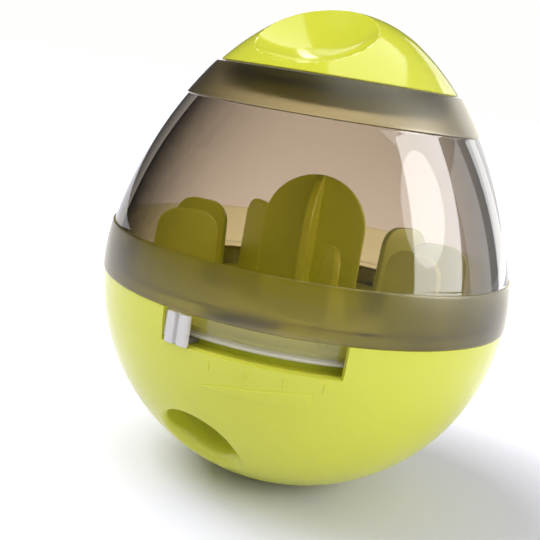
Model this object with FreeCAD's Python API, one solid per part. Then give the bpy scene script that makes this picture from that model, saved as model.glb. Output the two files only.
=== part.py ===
# Egg-shaped treat ball: a smoke dome holding kibble over a weighted lime bowl.
# A lever in the bowl's rim turns a shutter that sets how fast the kibble drops to the outlet.
#
# Frame: +Z runs up the egg's axis, the origin is the middle of its foot, and -Y is the front.
# Azimuths are in degrees from the front, positive towards +X. Lengths are in millimetres.
# Heights called rise or drop are measured from the belly, the egg's widest level.
import FreeCAD
import Part
import math
import os
from FreeCAD import Vector

# Egg outline
belly_radius = 50.0
foot_radius = 7.5
shoulder_arc_radius = 53.0
shoulder_arc_angle = 15.0
flank_arc_radius = 103.0
flank_arc_angle = 21.0
crown_arc_radius = 62.0
crown_arc_angle = 18.0

# Levels on the outline
rim_drop = 1.5
collar_rise = 10.5
band_rise = 42.6
cap_rise = 51.2

# Walls
shell_wall = 2.2
dome_wall = 2.2
cap_wall = 2.0
collar_proud = 0.4
band_proud = 0.5

# Clearances
running_gap = 0.25
fit_gap = 0.1
side_gap = 0.4
seam_gap = 0.15

# Outlet and drop path
outlet_azimuth = -29.4
outlet_bore = 9.2
outlet_pitch = 42.2
mouth_round = 1.8
drop_inset = 13.6
duct_wall = 1.6
socket_length = 4.0
socket_wall = 1.8

# Lever and shutter
lever_azimuth = -30.8
lever_travel = 39.0
notch_depth = 7.5
shutter_inset = 12.4
shutter_thickness = 1.2
small_opening = 4.5
arm_width = 4.0
arm_overlap = 3.0
tang_thickness = 1.2
tang_height = 3.1
tang_inset = 1.6
knob_width = 6.4
knob_proud = 0.8
knob_groove_width = 0.9
knob_groove_depth = 0.7
knob_round = 0.5

# Deck
deck_thickness = 2.0
deck_edge_gap = 0.6
deck_pad_thickness = 1.6
deck_pad_radius = 4.2
pivot_radius = 6.0
boss_azimuth = 29.0
boss_count = 3
deck_boss_inset = 12.0
deck_boss_radius = 3.6
boss_web_thickness = 1.2

# Tray, vanes and centre baffle
tray_thickness = 1.8
tray_wall = 1.8
vane_count = 9
vane_azimuth = -31.0
vane_height = 21.0
vane_thickness = 1.8
vane_width = 16.4
vane_taper = 1.0
vane_corner = 5.2
vane_inset = 11.5
hub_radius = 8.0
hub_height = 5.1
hub_floor = 2.1
baffle_width = 25.6
baffle_thickness = 2.0
baffle_height = 33.2
baffle_turn = -8.0
baffle_ring_wall = 1.9
baffle_roof = 2.6

# Dome
spigot_inset = 4.3
spigot_wall = 2.0
web_thickness = 2.0
neck_inset = 6.2
neck_wall = 1.8
neck_depth = 7.6
neck_plate = 2.2
lug_count = 3
lug_azimuth = 45.0
lug_width = 16.0
lug_height = 2.0
lug_reach = 1.2
keeper_width = 18.0
keeper_height = 1.6
keeper_stop_width = 3.0
keeper_stop_slack = 0.4

# Cap and its seal
skirt_wall = 2.0
skirt_depth = 7.4
cap_plate = 2.4
scoop_azimuth = -26.5
scoop_inset = 4.9
scoop_rise = 25.6
scoop_radius = 24.0
seal_inset = 1.4
seal_width = 2.6
seal_thickness = 0.7
seal_seat = 0.05

# Weight and bottom cover
cover_inset = 25.2
cover_gap = 0.2
cover_wall = 1.8
cover_top = 8.8
cover_seat = 1.8
weight_inset = 8.3
weight_height = 10.5
weight_gap = 0.3
weight_edge = 0.8
housing_wall = 1.7
cover_boss_inset = 4.1
cover_boss_radius = 3.2
cover_boss_height = 8.4
cover_boss_roof = 1.2

# Screws
small_shank = 1.3
small_head = 2.4
small_head_height = 1.6
small_pilot = 1.1
head_chamfer = 0.5
cover_screw_length = 8.0
deck_screw_length = 8.0
pivot_shank = 1.5
pivot_pilot = 1.3
pivot_head = 2.9
pivot_head_height = 1.9
pivot_screw_length = 11.0
washer_radius = 3.8
washer_thickness = 0.8
hole_slack = 0.3
tip_length = 1.6
tip_radius_share = 0.2

# Levels that follow from the sizes above
belly_height = math.sqrt(belly_radius ** 2 - foot_radius ** 2)
rim_height = belly_height - rim_drop
collar_height = belly_height + collar_rise
band_height = belly_height + band_rise
cap_seat = belly_height + cap_rise
notch_floor = rim_height - notch_depth
deck_bottom = notch_floor - deck_thickness
shutter_bottom = notch_floor + running_gap
shutter_top = shutter_bottom + shutter_thickness
tray_bottom = shutter_top + running_gap
tray_top = tray_bottom + tray_thickness
spigot_bottom = tray_bottom
web_top = rim_height + web_thickness

# Radii and reaches that follow from the belly and from the cap's seat
spigot_radius = belly_radius - spigot_inset
lug_radius = spigot_radius + lug_reach
shutter_radius = belly_radius - shutter_inset
tang_reach = belly_radius - tang_inset
drop_reach = shutter_radius - drop_inset
deck_boss_reach = belly_radius - deck_boss_inset
tray_radius = spigot_radius - spigot_wall - side_gap
vane_reach = tray_radius - vane_inset
cover_radius = belly_radius - cover_inset
cover_boss_reach = cover_radius - cover_boss_inset
weight_radius = cover_radius - weight_inset
housing_inner = weight_radius + weight_gap
cover_floor = belly_height - math.sqrt((belly_radius - cover_wall) ** 2 - housing_inner ** 2)
housing_top = cover_floor + weight_height + weight_gap
duct_outer = outlet_bore + duct_wall
socket_inner = duct_outer + hole_slack

up = Vector(0, 0, 1)
origin = Vector(0, 0, 0)
far = 80.0
over = 1.0
parallel_angle = 8.0
square_corner = 1


def turned(shape, azimuth):
    """Turn a shape built along +X so that it lies at this azimuth."""
    moved = shape.copy()
    moved.rotate(origin, up, azimuth - 90.0)
    return moved


def around(count, first):
    """Azimuths of a pattern spread evenly round the axis."""
    return [first + 360.0 * step / count for step in range(count)]


def tube(inner, outer, low, high):
    """Ring with vertical walls on the egg's axis."""
    return rod(outer, low, high).cut(rod(inner, low - over, high + over))


def rod(radius, low, high, reach=0.0):
    """Upright cylinder whose axis is at this reach along +X."""
    return Part.makeCylinder(radius, high - low, Vector(reach, 0, low), up)


def block(x_low, x_high, width, z_low, z_high):
    """Box along +X, centred on the X axis."""
    return Part.makeBox(x_high - x_low, width, z_high - z_low, Vector(x_low, -width / 2.0, z_low))


def ring_face(r_low, r_high, z_low, z_high):
    """Rectangle in the half plane that sections are drawn in."""
    corners = [(r_low, z_low), (r_high, z_low), (r_high, z_high), (r_low, z_high), (r_low, z_low)]
    return Part.Face(Part.makePolygon([Vector(r, 0, z) for r, z in corners]))


def arc_block(r_low, r_high, z_low, z_high, azimuth, width):
    """Piece of a ring, this many degrees wide, with its middle at this azimuth."""
    piece = ring_face(r_low, r_high, z_low, z_high).revolve(origin, up, width)
    return turned(piece, azimuth - width / 2.0)


def joined(shapes):
    """One solid from touching or overlapping solids."""
    first = shapes[0]
    return first.fuse(shapes[1:]).removeSplitter() if len(shapes) > 1 else first


def edges_along(shape, direction):
    """Straight edges of a shape that run in this direction."""
    starts = [(edge, edge.tangentAt(edge.FirstParameter)) for edge in shape.Edges]
    return [edge for edge, tangent in starts if abs(tangent.dot(direction)) > math.cos(math.radians(parallel_angle))]


def polar(centre, radius, angle):
    """Point of the section plane at an angle above the horizontal."""
    return Vector(centre.x + radius * math.cos(angle), 0, centre.z + radius * math.sin(angle))


def egg_arcs():
    """Tangent arcs of the outline from the pole below to the tip: centre, radius, two angles."""
    belly = Vector(0, 0, belly_height)
    arcs = [(belly, belly_radius, -math.pi / 2, 0.0)]
    for radius, sweep in (
        (shoulder_arc_radius, shoulder_arc_angle),
        (flank_arc_radius, flank_arc_angle),
        (crown_arc_radius, crown_arc_angle),
    ):
        centre, last_radius, start, angle = arcs[-1]
        joint = polar(centre, last_radius, angle)
        centre = polar(joint, -radius, angle)
        arcs.append((centre, radius, angle, angle + math.radians(sweep)))
    centre, last_radius, start, angle = arcs[-1]
    joint = polar(centre, last_radius, angle)
    tip_radius = joint.x / math.cos(angle)
    arcs.append((polar(joint, -tip_radius, angle), tip_radius, angle, math.pi / 2))
    return arcs


def egg_face(offset):
    """Half section of the egg, grown by the offset."""
    edges = []
    for centre, radius, start, end in egg_arcs():
        middle = (start + end) / 2.0
        points = [polar(centre, radius + offset, angle) for angle in (start, middle, end)]
        points = [Vector(max(point.x, 0.0), 0, point.z) for point in points]
        edges.append(Part.Arc(*points).toShape())
    top = edges[-1].Vertexes[-1].Point
    bottom = edges[0].Vertexes[0].Point
    edges.append(Part.makeLine(top, bottom))
    return Part.Face(Part.Wire(edges))


def egg_layer(offset, low, high):
    """Solid slice of the egg between two heights."""
    return egg_face(offset).common(ring_face(0, far, low, high)).revolve(origin, up, 360)


def egg_radius(offset, height):
    """Outline radius of the egg at a height."""
    for centre, radius, start, end in egg_arcs():
        if height <= centre.z + (radius + offset) * math.sin(end):
            return centre.x + math.sqrt((radius + offset) ** 2 - (height - centre.z) ** 2)
    return 0.0


# Radii that follow from the outline at the cap's seat
cap_radius = egg_radius(0, cap_seat)
neck_bore = cap_radius - neck_inset
neck_outer = neck_bore + neck_wall
skirt_radius = neck_bore - side_gap
scoop_reach = cap_radius - scoop_inset
seal_outer = cap_radius - seal_inset
seal_inner = seal_outer - seal_width


def outlet_frame(shape):
    """Move a shape built on +Z from the belly's centre onto the outlet's axis."""
    moved = shape.copy()
    moved.rotate(origin, Vector(0, 1, 0), 90.0 + outlet_pitch)
    moved.translate(Vector(0, 0, belly_height))
    return turned(moved, outlet_azimuth)


def lever_span():
    """Middle azimuth of the knob's travel, the travel and the knob's half width, in degrees."""
    half = math.degrees(math.asin(knob_width / 2.0 / egg_radius(0, notch_floor)))
    return lever_azimuth + lever_travel / 2.0, lever_travel, half


def screw(head, head_height, shank, length):
    """Self-tapping screw, head on top, seated on the plane z = 0."""
    head_part = Part.makeCylinder(head, head_height, origin, up)
    head_part = head_part.makeChamfer(head_chamfer, [head_part.Edges[0]])
    body = Part.makeCylinder(shank, length - tip_length, origin, Vector(0, 0, -1))
    tip_top = Vector(0, 0, tip_length - length)
    tip = Part.makeCone(shank, shank * tip_radius_share, tip_length, tip_top, Vector(0, 0, -1))
    return joined([head_part, body, tip])


def base_shell():
    """Lime bowl with the rim notch, outlet, screw bosses, weight housing and dome keepers."""
    body = egg_layer(0, 0, rim_height).cut(egg_layer(-shell_wall, 0, rim_height))
    body = body.cut(rod(cover_radius + cover_gap, -over, cover_top))
    extras = [
        egg_layer(-shell_wall / 2, cover_top, cover_top + shell_wall),
        rod(housing_inner + housing_wall, cover_top, housing_top + shell_wall),
    ]
    socket_start = Vector(0, 0, inner_reach() - socket_length)
    socket = Part.makeCylinder(socket_inner + socket_wall, socket_length, socket_start, up)
    inner_fill = egg_layer(-shell_wall / 2, cover_top, rim_height)
    extras.append(outlet_frame(socket).common(inner_fill))
    boss_top = deck_bottom - deck_pad_thickness
    web_high = boss_top - deck_pad_thickness
    for azimuth in around(boss_count, boss_azimuth):
        boss = rod(deck_boss_radius, cover_top, boss_top, deck_boss_reach)
        web = block(deck_boss_reach, belly_radius, boss_web_thickness, cover_top, web_high)
        extras.append(turned(joined([boss, web]), azimuth).common(inner_fill))
        boss = rod(cover_boss_radius, cover_top, cover_top + cover_boss_height, cover_boss_reach)
        extras.append(turned(boss, azimuth))
    extras += keepers()
    body = joined([body] + extras)
    body = body.cut(rod(housing_inner, -over, housing_top))
    cover_pilot_top = cover_top + cover_boss_height - cover_boss_roof
    for azimuth in around(boss_count, boss_azimuth):
        deck_pilot = rod(small_pilot, deck_bottom - deck_screw_length, far, deck_boss_reach)
        cover_pilot = rod(small_pilot, 0, cover_pilot_top, cover_boss_reach)
        body = body.cut([turned(deck_pilot, azimuth), turned(cover_pilot, azimuth)])
    bore_start = Vector(0, 0, inner_reach() - 2 * socket_length)
    bore = Part.makeCylinder(outlet_bore, far, bore_start, up)
    seat = Part.makeCylinder(socket_inner, 2 * socket_length, bore_start, up)
    body = body.cut(outlet_frame(joined([bore, seat])))
    body = body.cut(rim_notch())
    return round_mouth(body)


def inner_reach():
    """Distance from the belly's centre to the flat that the duct's end meets."""
    return math.sqrt((belly_radius - shell_wall) ** 2 - socket_inner ** 2)


def round_mouth(body):
    """Round the outer edge of the outlet with an arc tangent to the bore and the bowl."""
    reach, centre_radius = belly_radius - mouth_round, outlet_bore + mouth_round
    centre = Vector(centre_radius, 0, math.sqrt(reach ** 2 - centre_radius ** 2))
    on_bore = Vector(outlet_bore, 0, centre.z)
    on_bowl = centre * (belly_radius / reach)
    turn = (math.pi + math.atan2(on_bowl.z - centre.z, on_bowl.x - centre.x)) / 2.0
    edge = Part.Arc(on_bore, polar(centre, mouth_round, turn), on_bowl).toShape()
    outside = [on_bowl, Vector(on_bowl.x, 0, far), Vector(0, 0, far), Vector(0, 0, centre.z), on_bore]
    face = Part.Face(Part.Wire([edge] + Part.makePolygon(outside).Edges))
    return body.cut(outlet_frame(face.revolve(origin, up, 360)))


def rim_notch():
    """Cut for the lever's knob, open at the rim."""
    middle, travel, half = lever_span()
    slack = math.degrees(side_gap / belly_radius)
    return arc_block(shutter_radius, far, notch_floor, far, middle, travel + 2 * (half + slack))


def keepers():
    """Ribs inside the rim that hold the dome's lugs down, each with an end stop."""
    ribs = []
    low = spigot_bottom + lug_height + running_gap
    high = low + keeper_height
    stop_offset = (lug_width + keeper_stop_width) / 2.0 + keeper_stop_slack
    inner = spigot_radius + side_gap
    for azimuth in around(lug_count, lug_azimuth):
        rib = arc_block(inner, belly_radius, low, high, azimuth, keeper_width)
        stop_azimuth = azimuth - stop_offset
        stop = arc_block(inner, belly_radius, low - lug_height / 2, high, stop_azimuth, keeper_stop_width)
        ribs.append(joined([rib, stop]))
    inner_fill = egg_layer(-shell_wall / 2, notch_floor, rim_height)
    return [rib.common(inner_fill) for rib in ribs]


def bottom_cover():
    """Plug under the weight, flush with the bowl, with the flat foot."""
    plug = egg_layer(0, 0, cover_top).common(rod(cover_radius, 0, cover_top))
    plug = plug.cut(rod(housing_inner, cover_floor, far))
    for azimuth in around(boss_count, boss_azimuth):
        hole = rod(small_shank + hole_slack, -over, far, cover_boss_reach)
        sink = rod(small_head + hole_slack, -over, cover_top - cover_seat, cover_boss_reach)
        plug = plug.cut(turned(joined([hole, sink]), azimuth))
    return plug


def cover_screws():
    """Screws driven up through the bottom cover."""
    group = []
    for azimuth in around(boss_count, boss_azimuth):
        one = screw(small_head, small_head_height, small_shank, cover_screw_length)
        one.rotate(origin, Vector(1, 0, 0), 180)
        one.translate(Vector(cover_boss_reach, 0, cover_top - cover_seat))
        group.append(turned(one, azimuth))
    return Part.makeCompound(group)


def counterweight():
    """Turned steel slug that makes the egg stand up again."""
    slug = rod(weight_radius, cover_floor, cover_floor + weight_height)
    rims = [edge for edge in slug.Edges if isinstance(edge.Curve, Part.Circle)]
    return slug.makeChamfer(weight_edge, rims)


def duct_body(radius, top, end):
    """Round bar through the duct: upright, a mitred elbow, then the slope to this reach."""
    pitch = math.radians(outlet_pitch)
    corner = Vector(drop_reach, 0, belly_height - drop_reach * math.tan(pitch))
    start = Vector(drop_reach, 0, top)
    finish = Vector(end * math.cos(pitch), 0, belly_height - end * math.sin(pitch))
    path = Part.makePolygon([start, corner, finish])
    disc = Part.Wire(Part.makeCircle(radius, start, up))
    return turned(path.makePipeShell([disc], True, True, square_corner), outlet_azimuth)


def outlet_chute():
    """Elbow duct from the deck's drop hole down to the outlet."""
    duct = duct_body(duct_outer, deck_bottom, inner_reach())
    return duct.cut(duct_body(outlet_bore, deck_bottom + over, inner_reach() + over))


def drop_deck():
    """Plate that closes the bowl, carries the shutter and pivot, and locates the duct."""
    plate = rod(egg_radius(-shell_wall, deck_bottom) - deck_edge_gap / 2, deck_bottom, notch_floor)
    parts = [plate, rod(pivot_radius, deck_bottom, tray_bottom)]
    parts.append(rod(pivot_radius, deck_bottom - pivot_screw_length / 2, deck_bottom))
    ring = rod(socket_inner + duct_wall, deck_bottom - deck_thickness, deck_bottom, drop_reach)
    ring = ring.cut(rod(socket_inner, deck_bottom - far, deck_bottom, drop_reach))
    parts.append(turned(ring, outlet_azimuth))
    for azimuth in around(boss_count, boss_azimuth):
        pad = rod(deck_pad_radius, deck_bottom - deck_pad_thickness, deck_bottom, deck_boss_reach)
        parts.append(turned(pad, azimuth))
    deck = joined(parts)
    deck = deck.cut(turned(rod(outlet_bore, 0, far, drop_reach), outlet_azimuth))
    deck = deck.cut(rod(pivot_pilot, tray_bottom - pivot_screw_length, far))
    for azimuth in around(boss_count, boss_azimuth):
        hole = rod(small_shank + hole_slack, 0, far, deck_boss_reach)
        sink = rod(small_head + hole_slack, notch_floor - small_head_height - fit_gap, far, deck_boss_reach)
        deck = deck.cut(turned(joined([hole, sink]), azimuth))
    return deck


def deck_screws():
    """Screws that hold the deck on the bowl's bosses, sunk under the shutter."""
    group = []
    for azimuth in around(boss_count, boss_azimuth):
        one = screw(small_head, small_head_height, small_shank, deck_screw_length)
        one.translate(Vector(deck_boss_reach, 0, notch_floor - small_head_height - fit_gap))
        group.append(turned(one, azimuth))
    return Part.makeCompound(group)


def comet_face(height):
    """Outline of the shutter's hole: two round ends joined by arcs about the pivot."""
    def at(reach, azimuth):
        angle = math.radians(azimuth - 90.0)
        return Vector(reach * math.cos(angle), reach * math.sin(angle), height)

    small, big = outlet_azimuth, outlet_azimuth - lever_travel
    middle = (small + big) / 2.0
    mean = (small_opening + outlet_bore) / 2.0
    small_end = math.degrees(small_opening / drop_reach)
    big_end = math.degrees(outlet_bore / drop_reach)
    edges = [
        Part.Arc(at(drop_reach - small_opening, small), at(drop_reach, small + small_end),
                 at(drop_reach + small_opening, small)).toShape(),
        Part.Arc(at(drop_reach + small_opening, small), at(drop_reach + mean, middle),
                 at(drop_reach + outlet_bore, big)).toShape(),
        Part.Arc(at(drop_reach + outlet_bore, big), at(drop_reach, big - big_end),
                 at(drop_reach - outlet_bore, big)).toShape(),
        Part.Arc(at(drop_reach - outlet_bore, big), at(drop_reach - mean, middle),
                 at(drop_reach - small_opening, small)).toShape(),
    ]
    return Part.Face(Part.Wire(edges))


def lever_arm(slack):
    """Arm and upturned tang that reach out through the notch, grown by a slack for the knob's slot."""
    half = arm_width / 2.0 + slack
    low, high, end = shutter_bottom - slack, shutter_top + slack, tang_reach + slack
    arm = block(shutter_radius - arm_overlap, end, 2 * half, low, high)
    tang = block(tang_reach - tang_thickness - slack, end, 2 * half, low, high + tang_height)
    return turned(joined([arm, tang]), lever_azimuth)


def shutter_plate():
    """Disc under the tray that opens or closes the drop hole."""
    disc = rod(shutter_radius, shutter_bottom, shutter_top)
    hole = comet_face(shutter_bottom - over).extrude(Vector(0, 0, shutter_thickness + 2 * over))
    disc = disc.cut(hole).cut(rod(pivot_radius + fit_gap, 0, far))
    return joined([disc, lever_arm(0.0)])


def lever_knob():
    """Grooved grip pressed on the shutter's tang."""
    inner = spigot_radius + side_gap
    outer = egg_radius(0, notch_floor) + knob_proud
    low = shutter_bottom + fit_gap / 2
    grip = block(inner, outer, knob_width, low, rim_height - side_gap)
    outside = [edge for edge in edges_along(grip, up) if edge.CenterOfMass.x > (inner + outer) / 2]
    grip = grip.makeFillet(knob_round, outside)
    groove = block(outer - knob_groove_depth, far, knob_groove_width, low - over, far)
    return turned(grip.cut(groove), lever_azimuth).cut(lever_arm(fit_gap))


def hopper_tray():
    """Floor of the hopper with its ring of vanes, the drop hole and the hub over the pivot."""
    parts = [
        rod(tray_radius, tray_bottom, tray_top),
        tube(tray_radius - tray_wall, tray_radius, notch_floor, tray_bottom),
        rod(hub_radius, tray_bottom, tray_bottom + hub_height),
    ]
    parts += [turned(vane(), azimuth) for azimuth in around(vane_count, vane_azimuth)[1:]]
    tray = joined(parts)
    tray = tray.cut(turned(rod(outlet_bore, 0, far, drop_reach), outlet_azimuth))
    tray = tray.cut(rod(pivot_shank + hole_slack, 0, far))
    tray = tray.cut(rod(washer_radius + hole_slack, tray_bottom + hub_floor, far))
    middle, travel, half = lever_span()
    return tray.cut(arc_block(shutter_radius, far, 0, tray_bottom, middle, travel + 4 * half))


def vane():
    """Upright tab with tapered sides and round corners, standing on the tray along +X."""
    half, top_half = vane_width / 2.0, vane_width / 2.0 - vane_taper
    corners = [(-half, 0), (half, 0), (top_half, vane_height), (-top_half, vane_height), (-half, 0)]
    points = [Vector(vane_reach + x, -vane_thickness / 2.0, tray_top + z) for x, z in corners]
    plate = Part.Face(Part.makePolygon(points)).extrude(Vector(0, vane_thickness, 0))
    level = edges_along(plate, Vector(0, 1, 0))
    return plate.makeFillet(vane_corner, [edge for edge in level if edge.CenterOfMass.z > tray_top + over])


def centre_baffle():
    """Two crossed round-topped blades on a cap that clips over the tray's hub."""
    cavity_radius = hub_radius + fit_gap
    cavity_top = tray_bottom + hub_height + running_gap
    ring = rod(cavity_radius + baffle_ring_wall, tray_top, cavity_top + baffle_roof)
    baffle = joined([ring, blade(0.0), blade(90.0)])
    return baffle.cut(rod(cavity_radius, 0, cavity_top))


def blade(turn):
    """Flat plate with straight sides and a half-round top."""
    half = baffle_width / 2.0
    shoulder = tray_top + baffle_height - half
    plate = block(-half, half, baffle_thickness, tray_top, shoulder)
    crown_start = Vector(0, -baffle_thickness / 2, shoulder)
    crown = Part.makeCylinder(half, baffle_thickness, crown_start, Vector(0, 1, 0))
    return turned(joined([plate, crown]), baffle_turn + turn)


def pivot_washer():
    """Flat washer under the pivot screw's head."""
    low = tray_bottom + hub_floor
    return tube(pivot_shank + hole_slack, washer_radius, low, low + washer_thickness)


def pivot_screw():
    """Screw through the tray into the deck's pivot post."""
    one = screw(pivot_head, pivot_head_height, pivot_shank, pivot_screw_length)
    one.translate(Vector(0, 0, tray_bottom + hub_floor + washer_thickness))
    return one


def dome_shell():
    """Smoke dome: raised collar, clear window, raised neck band, inner neck and lugged spigot."""
    outer = egg_face(collar_proud).common(ring_face(0, far, rim_height + seam_gap, collar_height))
    outer = outer.fuse(egg_face(0).common(ring_face(0, far, collar_height, band_height)))
    outer = outer.fuse(egg_face(band_proud).common(ring_face(0, far, band_height, cap_seat)))
    outer = outer.fuse(ring_face(0, spigot_radius, spigot_bottom, rim_height + seam_gap))
    inner = ring_face(neck_outer, far, web_top, cap_seat - neck_plate)
    inner = inner.fuse(ring_face(0, neck_outer, web_top, cap_seat - neck_depth)).common(egg_face(-dome_wall))
    inner = inner.fuse(ring_face(0, spigot_radius - spigot_wall, spigot_bottom - over, web_top))
    inner = inner.fuse(ring_face(0, neck_bore, cap_seat - 2 * neck_depth, 2 * far))
    dome = outer.cut(inner).removeSplitter().revolve(origin, up, 360)
    lug_root = spigot_radius - spigot_wall / 2
    lug_top = spigot_bottom + lug_height
    lugs = [arc_block(lug_root, lug_radius, spigot_bottom, lug_top, azimuth, lug_width)
            for azimuth in around(lug_count, lug_azimuth)]
    return joined([dome] + lugs)


def scoops(wall):
    """Pair of ball-shaped finger scoops, grown by a wall for the cap's underside."""
    ball = Part.makeSphere(scoop_radius + wall, Vector(scoop_reach, 0, cap_seat + scoop_rise))
    return [turned(ball, azimuth) for azimuth in around(2, scoop_azimuth)]


def fill_cap():
    """Screw cap with two finger scoops, hollow below, with the skirt that takes the thread."""
    low = cap_seat + running_gap
    outer = egg_layer(0, low, 2 * far).cut(scoops(0.0))
    skirt = rod(skirt_radius, cap_seat - skirt_depth, low + cap_plate / 2)
    hollow = egg_layer(-cap_wall, low + cap_plate, 2 * far)
    hollow = hollow.fuse(rod(skirt_radius - skirt_wall, cap_seat - skirt_depth - over, low + cap_plate))
    cap = joined([outer, skirt]).cut(hollow.cut(scoops(cap_wall)))
    groove_roof = cap_seat + seal_seat + seal_thickness + fit_gap
    return cap.cut(tube(seal_inner - fit_gap, seal_outer + fit_gap, 0, groove_roof))


def cap_seal():
    """Soft ring between the cap and the neck."""
    low = cap_seat + seal_seat
    return tube(seal_inner, seal_outer, low, low + seal_thickness)


pieces = {
    "base_shell": base_shell,
    "bottom_cover": bottom_cover,
    "cover_screws": cover_screws,
    "counterweight": counterweight,
    "outlet_chute": outlet_chute,
    "drop_deck": drop_deck,
    "deck_screws": deck_screws,
    "shutter_plate": shutter_plate,
    "lever_knob": lever_knob,
    "hopper_tray": hopper_tray,
    "centre_baffle": centre_baffle,
    "pivot_washer": pivot_washer,
    "pivot_screw": pivot_screw,
    "dome_shell": dome_shell,
    "fill_cap": fill_cap,
    "cap_seal": cap_seal,
}

os.makedirs("parts", exist_ok=True)
for name, make in pieces.items():
    shape = make()
    shape.exportStep("parts/" + name + ".step")
    box = shape.BoundBox
    print(name, "solids", len(shape.Solids), "valid", shape.isValid(), "volume", round(shape.Volume, 1),
          "z", round(box.ZMin, 2), round(box.ZMax, 2), "x", round(box.XMin, 2), round(box.XMax, 2))
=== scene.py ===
# Egg-shaped treat ball: a smoke dome holding kibble over a weighted lime bowl.
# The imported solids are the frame; the pieces below are dressed or rebuilt on them.
import math
import bmesh
import bpy
from mathutils import Matrix, Vector


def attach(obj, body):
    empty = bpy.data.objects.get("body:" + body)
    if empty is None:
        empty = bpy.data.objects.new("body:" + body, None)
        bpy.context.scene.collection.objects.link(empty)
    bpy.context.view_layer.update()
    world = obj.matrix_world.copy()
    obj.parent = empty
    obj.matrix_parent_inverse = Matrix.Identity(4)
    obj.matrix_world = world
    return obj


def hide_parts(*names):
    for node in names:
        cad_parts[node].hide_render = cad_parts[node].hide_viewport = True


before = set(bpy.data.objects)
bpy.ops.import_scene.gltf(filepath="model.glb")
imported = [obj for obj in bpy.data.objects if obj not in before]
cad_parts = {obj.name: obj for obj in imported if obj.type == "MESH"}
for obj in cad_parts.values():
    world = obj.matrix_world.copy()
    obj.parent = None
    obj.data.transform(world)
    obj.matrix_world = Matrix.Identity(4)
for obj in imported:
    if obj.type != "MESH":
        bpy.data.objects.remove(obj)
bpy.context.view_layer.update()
scene = bpy.context.scene
mm = 0.001

# Camera: a long lens a little above the rim, tipped by nine degrees, because in the photo the egg
# has rolled a little to one side.
camera = bpy.data.objects.new("photo_camera", bpy.data.cameras.new("photo_camera"))
scene.collection.objects.link(camera)
camera.data.lens = 63.55
camera.data.sensor_width = 36.0
camera.data.clip_start = 0.01
eye_point = Vector((0, -236.46 * mm, 98.56 * mm))
heading, dip, roll = math.radians(2.220), math.radians(-11.297), math.radians(9.2)
looking = Matrix.Rotation(heading, 4, "Z") @ Matrix.Rotation(math.pi / 2 + dip, 4, "X")
looking = looking @ Matrix.Rotation(roll, 4, "Z")
camera.matrix_world = Matrix.Translation(eye_point) @ looking
scene.camera = camera
scene.view_settings.view_transform = "Standard"


# Studio: a white sweep under soft boxes. The tall box on the right is the one that shows in the
# dome as an upright window. The world is white to the eye and a dim grey room in reflections.
class Wire:
    """A node socket that Python arithmetic can be written on."""

    def __init__(self, tree, socket=None):
        self.tree, self.socket = tree, socket

    def node(self, kind, settings=(), out=0, **values):
        """Add a node: its settings, then values or links for its sockets, by name or i0, i1."""
        made = self.tree.nodes.new(kind)
        for key, value in dict(settings).items():
            setattr(made, key, value)
        for key, value in values.items():
            numbered = key[0] == "i" and key[1:].isdigit()
            socket = made.inputs[int(key[1:]) if numbered else key.replace("_", " ")]
            if isinstance(value, Wire):
                self.tree.links.new(value.socket, socket)
            else:
                socket.default_value = value
        return Wire(self.tree, made.outputs[out] if made.outputs else None)

    def math(self, operation, *values):
        """Add a math node."""
        numbered = {f"i{n}": value for n, value in enumerate(values)}
        return self.node("ShaderNodeMath", {"operation": operation}, **numbered)

    def ray(self, kind):
        """One where the ray is of a kind: Camera, Transmission or Glossy."""
        return self.node("ShaderNodeLightPath", out=f"Is {kind} Ray")

    def mix(self, share, first, second):
        """Mix two shaders, with a share of the second."""
        return self.node("ShaderNodeMixShader", i0=share, i1=first, i2=second)

    def __add__(self, other):
        return self.math("ADD", self, other)

    def __radd__(self, other):
        return self.math("ADD", other, self)

    def __sub__(self, other):
        return self.math("SUBTRACT", self, other)

    def __rsub__(self, other):
        return self.math("SUBTRACT", other, self)

    def __mul__(self, other):
        return self.math("MULTIPLY", self, other)

    def __rmul__(self, other):
        return self.math("MULTIPLY", other, self)


def wiring(holder):
    """Cleared node tree of a world or a material, to wire up."""
    holder.use_nodes = True
    holder.node_tree.nodes.clear()
    return Wire(holder.node_tree)


world = bpy.data.worlds.new("studio")
scene.world = world
air = wiring(world)
seen, mirrored = air.ray("Camera") + air.ray("Transmission"), air.ray("Glossy")
generated = air.node("ShaderNodeTexCoord", out="Generated")
side = air.node("ShaderNodeSeparateXYZ", out="X", Vector=generated)
room = air.node(
    "ShaderNodeMapRange", {"interpolation_type": "SMOOTHSTEP"}, Value=side,
    From_Min=0.25, From_Max=1.0, To_Min=0.05, To_Max=1.0,
)
soft_level = 0.50
level = seen + (1.0 - seen) * (mirrored * room + (1.0 - mirrored) * soft_level)
surround = air.node("ShaderNodeBackground", Color=(1.0, 0.995, 0.985, 1.0), Strength=level)
air.node("ShaderNodeOutputWorld", Surface=surround)


def way_to(azimuth, rise):
    """Direction at an azimuth from the front, positive to the right, and a rise above the level."""
    turn, glow_past_painted_shade = math.radians(azimuth), math.radians(rise)
    out = math.cos(glow_past_painted_shade)
    return Vector((math.sin(turn) * out, -math.cos(turn) * out, math.sin(glow_past_painted_shade)))


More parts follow.
